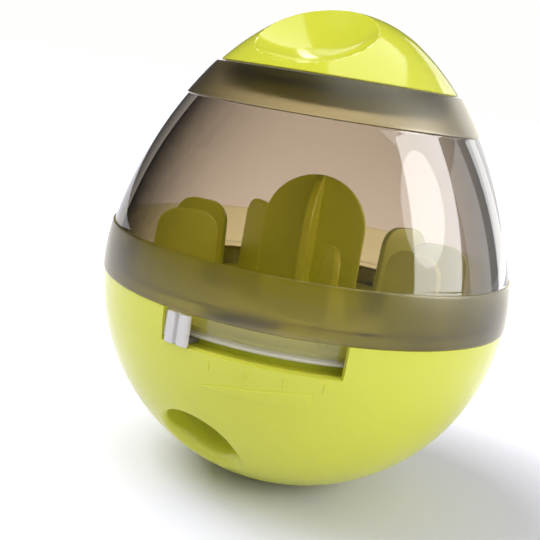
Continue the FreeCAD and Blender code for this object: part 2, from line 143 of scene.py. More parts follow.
def soft_box(name, way, distance, size, power, diffuse=True, face=(0, 0, 0), slide=(0, 0)):
    """Area lamp at an azimuth and rise from the ball, for surfaces or else for reflections alone.

    Face swings, leans and rolls it from square to the ball, and slide moves it in its plane."""
    lamp = bpy.data.objects.new(name, bpy.data.lights.new(name, "AREA"))
    scene.collection.objects.link(lamp)
    lamp.data.shape = "RECTANGLE"
    lamp.data.size, lamp.data.size_y = size
    lamp.data.energy = power
    lamp.visible_diffuse, lamp.visible_glossy = diffuse, not diffuse
    ball_middle = Vector((0, 0, 55 * mm))
    square = way_to(way[0] + face[0], way[1] + face[1]).to_track_quat("Z", "Y").to_matrix()
    spin_in_place = Matrix.Rotation(math.radians(face[2]), 4, "Z") @ Matrix.Translation((*slide, 0))
    stand = Matrix.Translation(way_to(*way) * distance + ball_middle)
    lamp.matrix_world = stand @ square.to_4x4() @ spin_in_place
    return lamp


window_way, window_face = (80.5, 28.5), (-18.9, -5.5, -4.7)
soft_box("window_shine", window_way, 0.60, (0.365, 0.459), 4.4, False, window_face)
for name, width in (("window_glow", 0.28), ("window_core", 0.15)):
    size, shift = (width, width * 1.1), (-0.09, 0.01)
    core = soft_box(name, window_way, 0.59, size, 0.9, False, window_face, shift)
    core.data.shape = "ELLIPSE"
for name, way, distance, size, power in (
    ("top_shine", (100, 77), 0.80, (0.75, 0.60), 3.6),
    ("side_shine", (110, 4), 0.80, (0.30, 0.80), 1.0),
    ("rim_shine", (139, 4), 0.80, (0.22, 0.80), 1.3),
    ("edge_shine", (155, 4), 0.80, (0.22, 0.80), 0.7),
    ("back_strip", (-168, 51), 0.70, (0.05, 0.33), 0.3),
    ("back_glow", (-155, 49), 0.70, (0.10, 0.33), 0.15),
):
    soft_box(name, way, distance, size, power, diffuse=False)
soft_box("key_box", (-70, 50), 0.80, (0.42, 0.42), 3.5)
soft_box("fill_box", (62, 24), 1.00, (0.90, 0.60), 5.4)

bpy.ops.object.select_all(action="DESELECT")
bpy.ops.mesh.primitive_plane_add(size=40.0, location=(0, 0, -0.05 * mm))
sweep = bpy.context.object
sweep.name = "sweep"
paper = bpy.data.materials.new("white_sweep")
card = wiring(paper)
# The floor's glow to the eye fades to nothing within a few centimetres of a point just right of and
# in front of the ball. This paints shade there on top of the real shadow. The floor's diffuse
# colour is tinted blue so that the lime light bounced into that shade comes out grey.
spot = card.node("ShaderNodeTexCoord", out="Object")
painted_shade_middle = (0.025, -0.008, 0.0)
away = card.node(
    "ShaderNodeVectorMath", {"operation": "DISTANCE"}, out="Value", i0=spot, i1=painted_shade_middle,
)
glow_past_painted_shade = card.node(
    "ShaderNodeMapRange", Value=away, From_Min=0.040, From_Max=0.10, To_Min=0.0, To_Max=0.75,
)
lit = card.node("ShaderNodeBsdfDiffuse", Color=(0.74, 0.74, 0.87, 1.0))
eye = card.ray("Camera") + card.ray("Transmission") + card.ray("Glossy")
white = card.node("ShaderNodeCombineColor", Red=glow_past_painted_shade, Green=glow_past_painted_shade, Blue=glow_past_painted_shade)
glow = card.node("ShaderNodeEmission", Color=white, Strength=eye)
both = card.node("ShaderNodeAddShader", i0=lit, i1=glow)
card.node("ShaderNodeOutputMaterial", Surface=both)
sweep.data.materials.append(paper)


# Bowl: the lower half of the egg, injection moulded in glossy lime plastic, about two millimetres
# thick. It has a notch in the rim for the lever and a round outlet low in the front whose edge is
# rounded over, more so below.
belly, belly_radius = 49.434, 50.0
# Each arc of the egg's outline, from the belly up: its centre's reach and height, its radius, and
# the angle at which it ends.
egg_arcs = [
    (0.0, belly, belly_radius, 0.0),
    (-3.0, belly, 53.0, 15.0),
    (-51.296, 36.493, 103.0, 36.0),
    (-18.127, 60.593, 62.0, 54.0),
    (0.0, 85.542, 31.161, 90.0),
]
egg_top = 116.703


def egg(height, proud=0.0):
    """Radius at a height, in millimetres, of the outline that bowl, dome and cap share."""
    for reach, middle, radius, last in egg_arcs:
        radius += proud
        if height <= middle + radius * math.sin(math.radians(last)) + 1e-6:
            return reach + math.sqrt(max(radius ** 2 - (height - middle) ** 2, 0.0))
    return 0.0


def level_steps(low, high, count):
    """Heights from low to high in equal steps."""
    return [low + (high - low) * step / count for step in range(count + 1)]


def rounded(corners, steps=4):
    """Section points with each corner (r, z, radius) replaced by an arc."""
    points = []
    for at, (r, z, radius) in enumerate(corners):
        here = Vector((r, z))
        back = Vector(corners[at - 1][:2]) - here
        ahead = Vector(corners[(at + 1) % len(corners)][:2]) - here
        sharp = radius == 0 or min(back.length, ahead.length) == 0
        if sharp or back.angle(ahead) > math.radians(176):
            points.append((r, z))
            continue
        half = back.angle(ahead) / 2
        trim = radius / math.tan(half)
        start, end = here + back.normalized() * trim, here + ahead.normalized() * trim
        inward = (back.normalized() + ahead.normalized()).normalized()
        middle = here + inward * (radius / math.sin(half))
        first, last = start - middle, end - middle
        for step in range(steps + 1):
            turned = first.copy()
            turned.rotate(Matrix.Rotation(-first.angle_signed(last) * step / steps, 2))
            points.append(tuple(middle + turned))
    return points


def begin(name):
    """A single vertex to draw a section from, in edit mode."""
    bpy.ops.object.select_all(action="DESELECT")
    bpy.ops.mesh.primitive_plane_add(size=mm)
    piece = bpy.context.object
    piece.name = piece.data.name = name
    bpy.ops.object.mode_set(mode="EDIT")
    bpy.ops.mesh.select_mode(type="VERT")
    bpy.ops.mesh.merge(type="CENTER")
    return piece


def draw(points, closed=False, face=False):
    """Extrude the selected vertex along section points (x, z) in the plane of the X axis."""
    at = Vector(points[0])
    bpy.ops.transform.translate(value=(at.x * mm, 0, at.y * mm))
    for point in points[1:]:
        step = (Vector(point) - at) * mm
        bpy.ops.mesh.extrude_region_move(TRANSFORM_OT_translate={"value": (step.x, 0, step.y)})
        at = Vector(point)
    if closed or face:
        mesh = bmesh.from_edit_mesh(bpy.context.object.data)
        bpy.ops.mesh.select_all(action="DESELECT")
        for vertex in mesh.verts:
            vertex.select_set(len(vertex.link_edges) == 1)
        mesh.select_flush(True)
        bpy.ops.mesh.edge_face_add()
    bpy.ops.mesh.select_all(action="SELECT")
    if face:
        bpy.ops.mesh.edge_face_add()


def close_up(seam=0.001):
    """Merge a seam and the poles, and turn the faces outwards."""
    bpy.ops.mesh.select_all(action="SELECT")
    bpy.ops.mesh.remove_doubles(threshold=seam * mm)
    bpy.ops.mesh.normals_make_consistent(inside=False)
    bpy.ops.object.mode_set(mode="OBJECT")


def spin(steps, degrees=360.0):
    """Turn the selected section about the egg's axis into a skin."""
    bpy.ops.mesh.spin(
        steps=steps, angle=math.radians(degrees), center=(0, 0, 0), axis=(0, 0, 1),
    )


def swing(azimuth):
    """Turn the selection in edit mode from +X to an azimuth from the front."""
    bpy.ops.transform.rotate(
        value=-math.radians(azimuth - 90), orient_axis="Z", center_override=(0, 0, 0),
    )


def lathe(name, points, steps, closed=True):
    """Piece turned about the egg's axis from a section."""
    piece = begin(name)
    draw(points, closed)
    spin(steps)
    close_up()
    return piece


def apply_all(piece):
    """Apply a piece's modifiers and place."""
    bpy.ops.object.select_all(action="DESELECT")
    piece.select_set(True)
    bpy.context.view_layer.objects.active = piece
    for modifier in list(piece.modifiers):
        bpy.ops.object.modifier_apply(modifier=modifier.name)
    bpy.ops.object.transform_apply(location=True, rotation=True, scale=True)


def turn_to(piece, azimuth):
    """Turn a piece that was made along +X to an azimuth from the front."""
    piece.matrix_world = Matrix.Rotation(math.radians(azimuth - 90), 4, "Z") @ piece.matrix_world
    apply_all(piece)
    return piece


def repeat(piece, azimuths):
    """Copies of a piece that was made along +X, one at each azimuth."""
    made = []
    for azimuth in azimuths:
        other = piece.copy()
        other.data = piece.data.copy()
        scene.collection.objects.link(other)
        made.append(turn_to(other, azimuth))
    bpy.data.objects.remove(piece, do_unlink=True)
    return made


def join(piece, others):
    """Join pieces into the first one."""
    bpy.ops.object.select_all(action="DESELECT")
    for other in [piece] + others:
        other.select_set(True)
    bpy.context.view_layer.objects.active = piece
    bpy.ops.object.join()
    return piece


def combine(piece, tools, operation="DIFFERENCE"):
    """Cut tools out of a piece, or fuse them with it."""
    for tool in tools:
        step = piece.modifiers.new("step", "BOOLEAN")
        step.operation, step.solver, step.object = operation, "EXACT", tool
        apply_all(piece)
        bpy.data.objects.remove(tool, do_unlink=True)
    return piece


def soften(piece, width, segments=3, angle=40.0):
    """Round the sharp edges of a piece."""
    edge = piece.modifiers.new("edge", "BEVEL")
    edge.width, edge.segments = width * mm, segments
    edge.limit_method, edge.angle_limit = "ANGLE", math.radians(angle)
    apply_all(piece)
    return piece


def rod(radius, low, high, reach=0.0, vertices=64):
    """Upright cylinder at a reach along +X."""
    bpy.ops.object.select_all(action="DESELECT")
    bpy.ops.mesh.primitive_cylinder_add(
        vertices=vertices, radius=radius * mm, depth=(high - low) * mm,
        location=(reach * mm, 0, (low + high) / 2 * mm),
    )
    return bpy.context.object


def arc_block(name, r_low, r_high, z_low, z_high, azimuth, width):
    """Block with curved sides, centred on an azimuth."""
    piece = begin(name)
    draw([(r_low, z_low), (r_high, z_low), (r_high, z_high), (r_low, z_high)], face=True)
    swing(azimuth - width / 2)
    spin(max(round(width / 2), 4), width)
    close_up()
    return piece


def finish(piece, material, body, slot, *nodes, crease=35.0):
    """Rid a piece of faces without an area, smooth it, and give it its material and its body."""
    apply_all(piece)
    bpy.ops.object.mode_set(mode="EDIT")
    bpy.ops.mesh.select_all(action="SELECT")
    bpy.ops.mesh.dissolve_degenerate(threshold=0.001 * mm)
    bpy.ops.object.mode_set(mode="OBJECT")
    bpy.ops.object.shade_smooth_by_angle(angle=math.radians(crease))
    piece.data.materials.clear()
    piece.data.materials.append(material)
    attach(piece, body)
    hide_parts(*nodes)


def place(azimuth, reach=0.0):
    """Direction or point in plan at an azimuth from the front."""
    angle = math.radians(azimuth - 90)
    return Vector((reach * math.cos(angle), reach * math.sin(angle), 0))


def azimuth_of(point):
    """Azimuth of a point from the front, positive towards +X."""
    return math.degrees(math.atan2(point.x, -point.y))


def pick(kind, test):
    """Select the parts of the mesh in edit mode that pass a test."""
    bpy.ops.mesh.select_mode(type={"verts": "VERT", "edges": "EDGE", "faces": "FACE"}[kind])
    bpy.ops.mesh.select_all(action="DESELECT")
    mesh = bmesh.from_edit_mesh(bpy.context.object.data)
    for part in getattr(mesh, kind):
        if test(part):
            part.select_set(True)
    mesh.select_flush_mode()
    bmesh.update_edit_mesh(bpy.context.object.data)


rim, notch_floor, notch_start, notch_width = 47.934, 40.434, -34.99, 47.376
outlet_azimuth, outlet_pitch, outlet_radius = -29.4, 42.2, 9.2
foot_hole, bowl_wall, mouth_start = 25.0, 1.75, 43.9

bowl = begin("bowl")
lowest = -math.radians(63.5)
shelf = math.asin((notch_floor - belly) / belly_radius)
top = math.asin((rim - belly) / belly_radius)
angles = [lowest + (shelf - lowest) * n / 36 for n in range(36)]
angles += [shelf + (top - shelf) * n / 6 for n in range(7)]
draw([(belly_radius * math.cos(a), belly + belly_radius * math.sin(a)) for a in angles])
swing(notch_start)
spin(32, notch_width)
spin(208, 360 - notch_width)
bpy.ops.mesh.select_all(action="SELECT")
bpy.ops.mesh.remove_doubles(threshold=0.01 * mm)
bpy.ops.mesh.normals_make_consistent(inside=False)


def in_notch(face):
    """Whether a face lies where the rim's notch is."""
    middle = face.calc_center_median()
    return middle.z > notch_floor * mm and 0 < azimuth_of(middle) - notch_start < notch_width


pick("faces", in_notch)
bpy.ops.mesh.delete(type="FACE")

outlet_way = way_to(outlet_azimuth, -outlet_pitch)
outlet_up = (Vector((0, 0, 1)) - outlet_way * outlet_way.z).normalized()
outlet_side = outlet_way.cross(outlet_up)
centre = Vector((0, 0, belly * mm))


def flare(turn):
    """Radius of the mouth's rounding, by the angle round the outlet from its top."""
    above, added, swell = 1.1, 2.0, 75
    low = min(max((abs(turn) - swell) / swell, 0.0), 1.0)
    return above + added * low * low * (3 - 2 * low)


def round_outlet(point):
    """Angle of a point round the outlet's axis from the top, and its lean from the axis."""
    way = (point - centre).normalized()
    turn = math.atan2(way.dot(outlet_side), way.dot(outlet_up))
    return math.degrees(turn), math.degrees(way.angle(outlet_way))


def mouth_lean(turn):
    """Lean from the outlet's axis at which the rounding meets the bowl."""
    bend = flare(turn)
    return math.degrees(math.asin((outlet_radius + bend) / (belly_radius - bend)))


def over_mouth(face):
    """Whether a face lies where the outlet and its rounding go."""
    for vertex in face.verts:
        turn, lean = round_outlet(vertex.co)
        if lean < mouth_lean(turn) + 1.0:
            return True
    return False


pick("faces", over_mouth)
bpy.ops.mesh.delete(type="FACE")
bpy.ops.object.mode_set(mode="OBJECT")

row_step, wall_rows, round_rows, skin_rows = 0.1, 3, 9, 3
mouth_rows = wall_rows + round_rows + skin_rows
mouth = begin("mouth")
draw([(outlet_radius, mouth_start + row_step * row) for row in range(mouth_rows)])
spin(144)
bpy.ops.mesh.select_all(action="SELECT")
bpy.ops.mesh.remove_doubles(threshold=0.01 * mm)
bpy.ops.object.mode_set(mode="OBJECT")
for vertex in mouth.data.vertices:
    row = round((vertex.co.z / mm - mouth_start) / row_step)
    turn = math.atan2(vertex.co.y, vertex.co.x)
    bend = flare(math.degrees(turn))
    along = math.sqrt((belly_radius - bend) ** 2 - (outlet_radius + bend) ** 2)
    stop = math.atan2(along, outlet_radius + bend)
    if row < wall_rows:
        reach, depth = outlet_radius, mouth_start + (along - mouth_start) * row / wall_rows
    elif row <= wall_rows + round_rows:
        angle = math.pi + (stop - math.pi) * (row - wall_rows) / round_rows
        reach = outlet_radius + bend + bend * math.cos(angle)
        depth = along + bend * math.sin(angle)
    else:
        lean = math.pi / 2 - stop + math.radians(0.3) * (row - wall_rows - round_rows)
        reach, depth = belly_radius * math.sin(lean), belly_radius * math.cos(lean)
    across = outlet_up * math.cos(turn) + outlet_side * math.sin(turn)
    vertex.co = centre + (outlet_way * depth + across * reach) * mm
join(bowl, [mouth])
bpy.ops.object.mode_set(mode="EDIT")


def mouth_edge(edge):
    """Whether an open edge belongs to the ring between the bowl and its mouth."""
    middle = (edge.verts[0].co + edge.verts[1].co) / 2
    on_skin = (middle - centre).length > 49.6 * mm
    return edge.is_boundary and on_skin and round_outlet(middle)[1] < 19.8


pick("edges", mouth_edge)
bpy.ops.mesh.fill(use_beauty=True)
bpy.ops.mesh.select_all(action="SELECT")
bpy.ops.mesh.normals_make_consistent(inside=False)
bpy.ops.object.mode_set(mode="OBJECT")
wall = bowl.modifiers.new("wall", "SOLIDIFY")
wall.thickness, wall.offset = bowl_wall * mm, -1
combine(bowl, [rod(foot_hole, -2.0, 12.0, vertices=240)])
soften(bowl, 0.3, angle=50)

screw_azimuths, lug_azimuths = (29, 149, 269), (45, 165, 285)
boss_reach, foot_reach = 38.0, 20.7
weight_radius, cover_in = 16.8, 8.8
housing = [(0, 19.457, 0), (18.5, 19.457, 0.5), (18.5, 11.0, 0.6), (30.6, 11.0, 0)]
housing += [(28.3, cover_in, 0), (weight_radius, cover_in, 0.3)]
housing += [(weight_radius, 17.257, 0.3), (0, 17.257, 0)]
housing = lathe("housing", rounded(housing), 144, closed=False)
bore = rod(11.6, -20.0, 20.0)
along_outlet = outlet_way.to_track_quat("Z", "Y").to_matrix().to_4x4()
bore.matrix_world = Matrix.Translation(centre + outlet_way * 45 * mm) @ along_outlet
apply_all(bore)
combine(housing, [bore])
boss = rod(3.6, 14.0, 36.834, reach=boss_reach, vertices=48)
bpy.ops.object.mode_set(mode="EDIT")
bpy.ops.mesh.select_all(action="SELECT")
toward = Vector((boss_reach, 0, -math.sqrt(49.0 ** 2 - boss_reach ** 2)))
bpy.ops.mesh.bisect(
    plane_co=tuple(centre + toward * mm), plane_no=tuple(toward.normalized()),
    clear_outer=True, use_fill=True,
)
bpy.ops.object.mode_set(mode="OBJECT")
combine(boss, [rod(1.1, 30.434, 40.0, reach=boss_reach, vertices=32)])
inner = [housing] + repeat(soften(boss, 0.25), screw_azimuths)
post = rod(3.2, 10.0, 17.2, reach=foot_reach, vertices=48)
inner += repeat(soften(post, 0.25), screw_azimuths)
keeper_in, keeper_low, keeper_high = 46.1, 44.384, 45.984
for azimuth in lug_azimuths:
    inner.append(arc_block("keeper", keeper_in, 49.0, keeper_low, keeper_high, azimuth, 18.0))
    inner.append(arc_block("stop", keeper_in, 48.7, 43.384, keeper_high, azimuth - 9.9, 3.0))

# Raised marks below the notch: a wedge that shows which way the lever opens, and four ticks. They
# are moulded with the bowl and stand a quarter of a millimetre proud.
def mark(name, columns, rows, corner):
    """Raised patch on the bowl; corner gives azimuth and height at a share across and up."""
    bpy.ops.object.select_all(action="DESELECT")
    bpy.ops.mesh.primitive_grid_add(x_subdivisions=columns, y_subdivisions=rows, size=1.0)
    patch = bpy.context.object
    patch.name = patch.data.name = name
    for vertex in patch.data.vertices:
        azimuth, height = corner(vertex.co.x + 0.5, vertex.co.y + 0.5)
        vertex.co = place(azimuth, egg(height)) * mm + Vector((0, 0, height * mm))
    bpy.ops.object.mode_set(mode="EDIT")
    bpy.ops.mesh.select_all(action="SELECT")
    bpy.ops.mesh.normals_make_consistent(inside=False)
    bpy.ops.object.mode_set(mode="OBJECT")
    raise_it = patch.modifiers.new("raise", "SOLIDIFY")
    raise_it.thickness, raise_it.offset = 0.6 * mm, -0.35
    return soften(patch, 0.14, segments=2, angle=50)


wedge_top = [(-22.6, 33.2), (-15.2, 34.4), (-8.6, 35.05), (-0.2, 36.1), (4.7, 36.4), (6.5, 36.35)]
tick_width, tick_low, tick_height = 0.7, 37.0, 2.2


def wedge_corner(across, up):
    """Azimuth and height on the wedge, whose top follows the line above and whose foot sags."""
    azimuth = -22.6 + 29.1 * across
    for (a, low), (b, high) in zip(wedge_top, wedge_top[1:]):
        if azimuth <= b + 1e-6:
            crest = low + (high - low) * (azimuth - a) / (b - a)
            break
    floor = 32.7 - 0.5 * math.sin(math.pi * across)
    return azimuth, floor + (crest - floor) * up


def tick_corner(across, up):
    """Azimuth and height on the tick whose middle is at the azimuth of the loop below."""
    return azimuth + tick_width * (across - 0.5), tick_low + tick_height * up


marks = [mark("wedge", 28, 4, wedge_corner)]
for azimuth in (-20.6, -10.4, -0.7, 9.2):
    marks.append(mark("tick", 2, 4, tick_corner))
join(bowl, inner + marks)


def lime_plastic(name, deep, bright, rough, grain):
    """Moulded lime plastic: a slow drift of tone, a fine grain and a slightly uneven skin."""
    material = bpy.data.materials.new(name)
    start = wiring(material)
    spot = start.node("ShaderNodeTexCoord", out="Object")
    drift = start.node("ShaderNodeTexNoise", Vector=spot, Scale=28.0, Detail=2.0, Roughness=0.45)
    fine = start.node("ShaderNodeTexNoise", Vector=spot, Scale=1500.0, Detail=2.0, Roughness=0.6)
    tone = start.node(
        "ShaderNodeMix", {"data_type": "RGBA"}, out=2, i0=drift, i6=deep, i7=bright,
    )
    skin = start.node("ShaderNodeBump", Strength=0.12, Distance=grain * mm, Height=fine)
    uneven = rough + (fine - 0.5) * 0.10 + (drift - 0.5) * 0.06
    body = start.node(
        "ShaderNodeBsdfPrincipled", Base_Color=tone, Roughness=uneven, Normal=skin, IOR=1.49,
    )
    start.node("ShaderNodeOutputMaterial", Surface=body)
    return material


gloss_deep, gloss_bright = (0.64, 0.665, 0.040, 1), (0.715, 0.745, 0.065, 1)
lime_gloss = lime_plastic("lime_gloss", gloss_deep, gloss_bright, 0.22, 0.05)
finish(bowl, lime_gloss, "base", "lime_gloss", "base_shell")


# Bottom cover: the plug that closes the weight's housing, moulded in the bowl's lime. Its flat foot
# is what the ball stands on. Three screws sit deep in counterbores.
cover_edge, weight_low = 24.8, 4.257
cover = [(0, 0, 0), (7.5, 0, 0.6)]
for lean in range(11, 29, 2):
    a = math.radians(lean)
    cover.append((belly_radius * math.sin(a), belly - belly_radius * math.cos(a), 0))
cover += [(cover_edge, 6.018, 0.25), (cover_edge, cover_in, 0.3), (weight_radius, cover_in, 0.3)]
cover += [(weight_radius, weight_low, 0.3), (0, weight_low, 0)]
cover = lathe("cover", rounded(cover), 192, closed=False)
sinks = repeat(rod(2.7, -3.0, 7.0, reach=foot_reach, vertices=48), screw_azimuths)
sinks += repeat(rod(1.6, 2.0, 12.0, reach=foot_reach, vertices=48), screw_azimuths)
soften(combine(cover, sinks), 0.15, segments=2, angle=50)
finish(cover, lime_gloss, "base", "lime_gloss", "bottom_cover")


# Screws: zinc-plated self-tapping screws with pan heads and cross recesses. Three hold the cover,
# three the deck, and a bigger one with a washer holds the tray on the pivot post.
def plain(name, colour, rough, metallic=0.0, grain=0.05, scale=900.0):
    """Finish with a fine grain in its skin."""
    material = bpy.data.materials.new(name)
    start = wiring(material)
    spot = start.node("ShaderNodeTexCoord", out="Object")
    fine = start.node("ShaderNodeTexNoise", Vector=spot, Scale=scale, Detail=3.0)
    dark = tuple(0.92 * part for part in colour[:3]) + (1,)
    tone = start.node("ShaderNodeMix", {"data_type": "RGBA"}, out=2, i0=fine, i6=dark, i7=colour)
    skin = start.node("ShaderNodeBump", Strength=0.2, Distance=grain * mm, Height=fine)
    body = start.node(
        "ShaderNodeBsdfPrincipled", Base_Color=tone, Roughness=rough + (fine - 0.5) * 0.12,
        Metallic=metallic, Normal=skin,
    )
    start.node("ShaderNodeOutputMaterial", Surface=body)
    return material


def helix(name, section, rise, turns, steps=48):
    """Rib of a thread, swept up from a section and closed at both ends."""
    rib = begin(name)
    draw(section, closed=True)
    bpy.ops.object.mode_set(mode="OBJECT")
    sweep_up = rib.modifiers.new("sweep", "SCREW")
    sweep_up.angle, sweep_up.screw_offset = math.radians(360) * turns, rise * turns * mm
    sweep_up.steps = sweep_up.render_steps = round(steps * turns)
    apply_all(rib)
    bpy.ops.object.mode_set(mode="EDIT")
    bpy.ops.mesh.select_all(action="SELECT")
    bpy.ops.mesh.fill_holes(sides=0)
    close_up()
    return rib


def screw(name, head, head_height, shank, length):
    """Screw with its head's seat at the origin and its shank below."""
    core = shank * 0.78
    section = [(0, head_height, 0), (head * 0.75, head_height, 0.9)]
    section += [(head, head_height * 0.35, 0.3), (head, 0, 0.1)]
    section += [(core, 0, 0.1), (core, 1.6 - length, 0), (0, -length, 0)]
    made = lathe(name, rounded(section), 48, closed=False)
    blades = []
    for turn in (0, 90):
        bpy.ops.object.select_all(action="DESELECT")
        bpy.ops.mesh.primitive_cube_add(
            size=1, location=(0, 0, head_height * mm), rotation=(0, 0, math.radians(turn)),
        )
        blade = bpy.context.object
        blade.scale = (head * 1.1 * mm, head * 0.26 * mm, head_height * 1.1 * mm)
        blades.append(blade)
    combine(made, blades)
    soften(made, 0.08, segments=2, angle=50)
    ridge = [(core - 0.1, 1.7 - length), (shank, 1.95 - length), (core - 0.1, 2.2 - length)]
    return join(made, [helix("ridge", ridge, 1.0, length - 2.6, steps=24)])


zinc = plain("zinc", (0.62, 0.62, 0.63, 1), 0.30, metallic=1.0)
foot_seat, deck_seat, washer_low, washer_high = 7.0, 38.734, 44.234, 45.034
small = screw("small_screw", 2.4, 1.6, 1.3, 8.0)
upturned = small.copy()
upturned.data = small.data.copy()
scene.collection.objects.link(upturned)
head_down = Matrix.Rotation(math.pi, 4, "X")
upturned.matrix_world = Matrix.Translation((foot_reach * mm, 0, foot_seat * mm)) @ head_down
apply_all(upturned)
small.matrix_world = Matrix.Translation((boss_reach * mm, 0, deck_seat * mm))
apply_all(small)
for name, one in (("cover_screws", upturned), ("deck_screws", small)):
    first, *others = repeat(one, screw_azimuths)
    first.name = first.data.name = name
    finish(join(first, others), zinc, "base", "zinc", name)
pivot = screw("pivot", 2.9, 1.9, 1.5, 11.0)
pivot.matrix_world = Matrix.Translation((0, 0, washer_high * mm))
finish(pivot, zinc, "base", "zinc", "pivot_screw")
washer = [(1.8, washer_low, 0.1), (3.8, washer_low, 0.1)]
washer += [(3.8, washer_high, 0.1), (1.8, washer_high, 0.1)]
washer = lathe("washer", rounded(washer), 64)
finish(washer, zinc, "base", "zinc", "pivot_washer")


# Counterweight: a turned steel slug in the foot, which stands the ball up again.
weight = [(0, weight_low, 0), (16.5, weight_low, 0.8), (16.5, 14.757, 0.8), (0, 14.757, 0)]
weight = lathe("weight", rounded(weight, steps=1), 128, closed=False)
steel = plain("turned_steel", (0.45, 0.45, 0.46, 1), 0.38, metallic=1.0)
finish(weight, steel, "base", "weight", "counterweight")


# Chute: a mitred duct in satin lime from the hole in the deck to the outlet, seen through the
# outlet as its bright inside wall. It ends against the bowl's mouth.
drop_reach, knee_height, duct_wall = 24.0, 27.67, 1.6


def duct(radius, top, end):
    """Upright and sloping pipe, each cut at the mitre, as one skin."""
    up = Vector((0, 0, 1))
    knee = place(outlet_azimuth, drop_reach) * mm + Vector((0, 0, knee_height * mm))
    turned = way_to(outlet_azimuth, 0).cross(up)
    mitre = (up - outlet_way).normalized()
    ends = ((up, mitre, Vector((0, 0, top * mm))),
            (outlet_way, -mitre, centre + outlet_way * end * mm))
    halves = []
    for way, keep, last in ends:
        bpy.ops.object.select_all(action="DESELECT")
        bpy.ops.mesh.primitive_cylinder_add(
            vertices=96, radius=radius * mm, depth=90 * mm, end_fill_type="NOTHING",
        )
        pipe = bpy.context.object
        along = Matrix((turned, way.cross(turned), way)).transposed().to_4x4()
        pipe.matrix_world = Matrix.Translation(knee) @ along
        apply_all(pipe)
        bpy.ops.object.mode_set(mode="EDIT")
        bpy.ops.mesh.select_all(action="SELECT")
        bpy.ops.mesh.bisect(plane_co=tuple(knee), plane_no=tuple(keep), clear_inner=True)
        bpy.ops.mesh.select_all(action="SELECT")
        bpy.ops.mesh.bisect(plane_co=tuple(last), plane_no=tuple(way), clear_outer=True)
        bpy.ops.object.mode_set(mode="OBJECT")
        halves.append(pipe)
    made = join(halves[0], [halves[1]])
    bpy.ops.object.mode_set(mode="EDIT")
    close_up(seam=0.01)
    return made


chute = duct(10.8, 38.434, mouth_start - 0.05)
chute.name = chute.data.name = "chute"
wall = chute.modifiers.new("wall", "SOLIDIFY")
wall.thickness, wall.offset, wall.use_even_offset = duct_wall * mm, -1, True
lime_satin = lime_plastic("lime_satin", (0.58, 0.61, 0.035, 1), (0.66, 0.69, 0.055, 1), 0.40, 0.12)
finish(chute, lime_satin, "base", "lime_satin", "outlet_chute")


# Deck and shutter: flat discs under the hopper's floor, the deck in satin lime and the shutter in
# a dark grey, darker than the lever, as painted shade beside the knob. They keep the shape of the
# imported solids.
def dress(node, material):
    """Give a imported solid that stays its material."""
    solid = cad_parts[node]
    solid.data.materials.clear()
    solid.data.materials.append(material)


dress("drop_deck", lime_satin)
# The shutter's grey is darkened to paint the shade that falls beside the lever knob.
dress("shutter_plate", plain("shutter_grey_painted_shade", (0.20, 0.195, 0.18, 1), 0.5))


# Lever knob: a light grey grip pressed on the shutter's tang, with a soft groove down its front and
# rounded edges. It is wide in front and narrow behind, where it passes the rim.
def slab(name, points, thickness, back=0.0):
    """Flat piece drawn in the plane of the X axis, thickened along +Y and then moved back."""
    piece = begin(name)
    draw(points, face=True)
    bpy.ops.mesh.extrude_region_move(TRANSFORM_OT_translate={"value": (0, thickness * mm, 0)})
    bpy.ops.mesh.select_all(action="SELECT")
    bpy.ops.transform.translate(value=(0, -back * mm, 0))
    close_up()
    return piece


knob_front, knob_back, knob_half, knob_top = 49.98, 48.5, 3.0, 6.95
groove_half, groove_floor = 0.62, knob_front - 0.75
grip = [(knob_back, -knob_half, 0.4), (knob_front, -knob_half, 0.6)]
grip += [(knob_front, -groove_half, 0.25), (groove_floor, -0.3, 0.3)]
grip += [(groove_floor, 0.3, 0.3), (knob_front, groove_half, 0.25)]
grip += [(knob_front, knob_half, 0.6), (knob_back, knob_half, 0.4)]
knob = slab("knob", rounded(grip, steps=6), knob_top)
on_end = Matrix.Rotation(math.pi / 2, 4, "X")
knob.matrix_world = Matrix.Translation((0, 0, 40.55 * mm)) @ on_end
apply_all(knob)
soften(knob, 0.4, segments=4, angle=60)
stem = soften(arc_block("stem", 46.1, 48.9, 41.4, 47.2, 90.0, 4.4), 0.3)
knob = turn_to(join(knob, [stem]), -30.3)
grey = plain("grey", (0.70, 0.68, 0.645, 1), 0.34)
finish(knob, grey, "shutter", "grey", "lever_knob")


# Hopper tray: satin lime floor of the hopper with the drop hole, a hub over the pivot and eight
# upright vanes with round corners, all one moulding.
floor_low, floor_high, hub_high, tray_edge = 42.134, 43.934, 47.234, 43.3
vane_foot, vane_top, vane_thick = 43.6, 64.934, 1.8
tray = [(1.8, floor_low, 0.1), (tray_edge, floor_low, 0.2), (tray_edge, floor_high, 0.4)]
tray += [(8.0, floor_high, 0.5), (8.0, hub_high, 0.4), (4.1, hub_high, 0.2)]
tray += [(4.1, washer_low, 0.2), (1.8, washer_low, 0.1)]
tray = lathe("tray", rounded(tray), 192)
drop_hole = rod(outlet_radius, 38.0, 50.0, reach=drop_reach, vertices=96)
combine(tray, [turn_to(drop_hole, outlet_azimuth)])
soften(tray, 0.25, segments=2, angle=60)
vane = [(23.6, vane_foot, 0), (40.0, vane_foot, 0), (39.0, vane_top, 5.2), (24.6, vane_top, 5.2)]
vane = slab("vane", rounded(vane, steps=12), vane_thick, back=vane_thick / 2)
vanes = repeat(soften(vane, 0.45), [-31 + 40 * n for n in range(1, 9)])
skirt = arc_block("skirt", 41.5, tray_edge, notch_floor, 42.3, 168.7, 306.0)
finish(join(tray, vanes + [skirt]), lime_satin, "base", "lime_satin", "hopper_tray", crease=31)


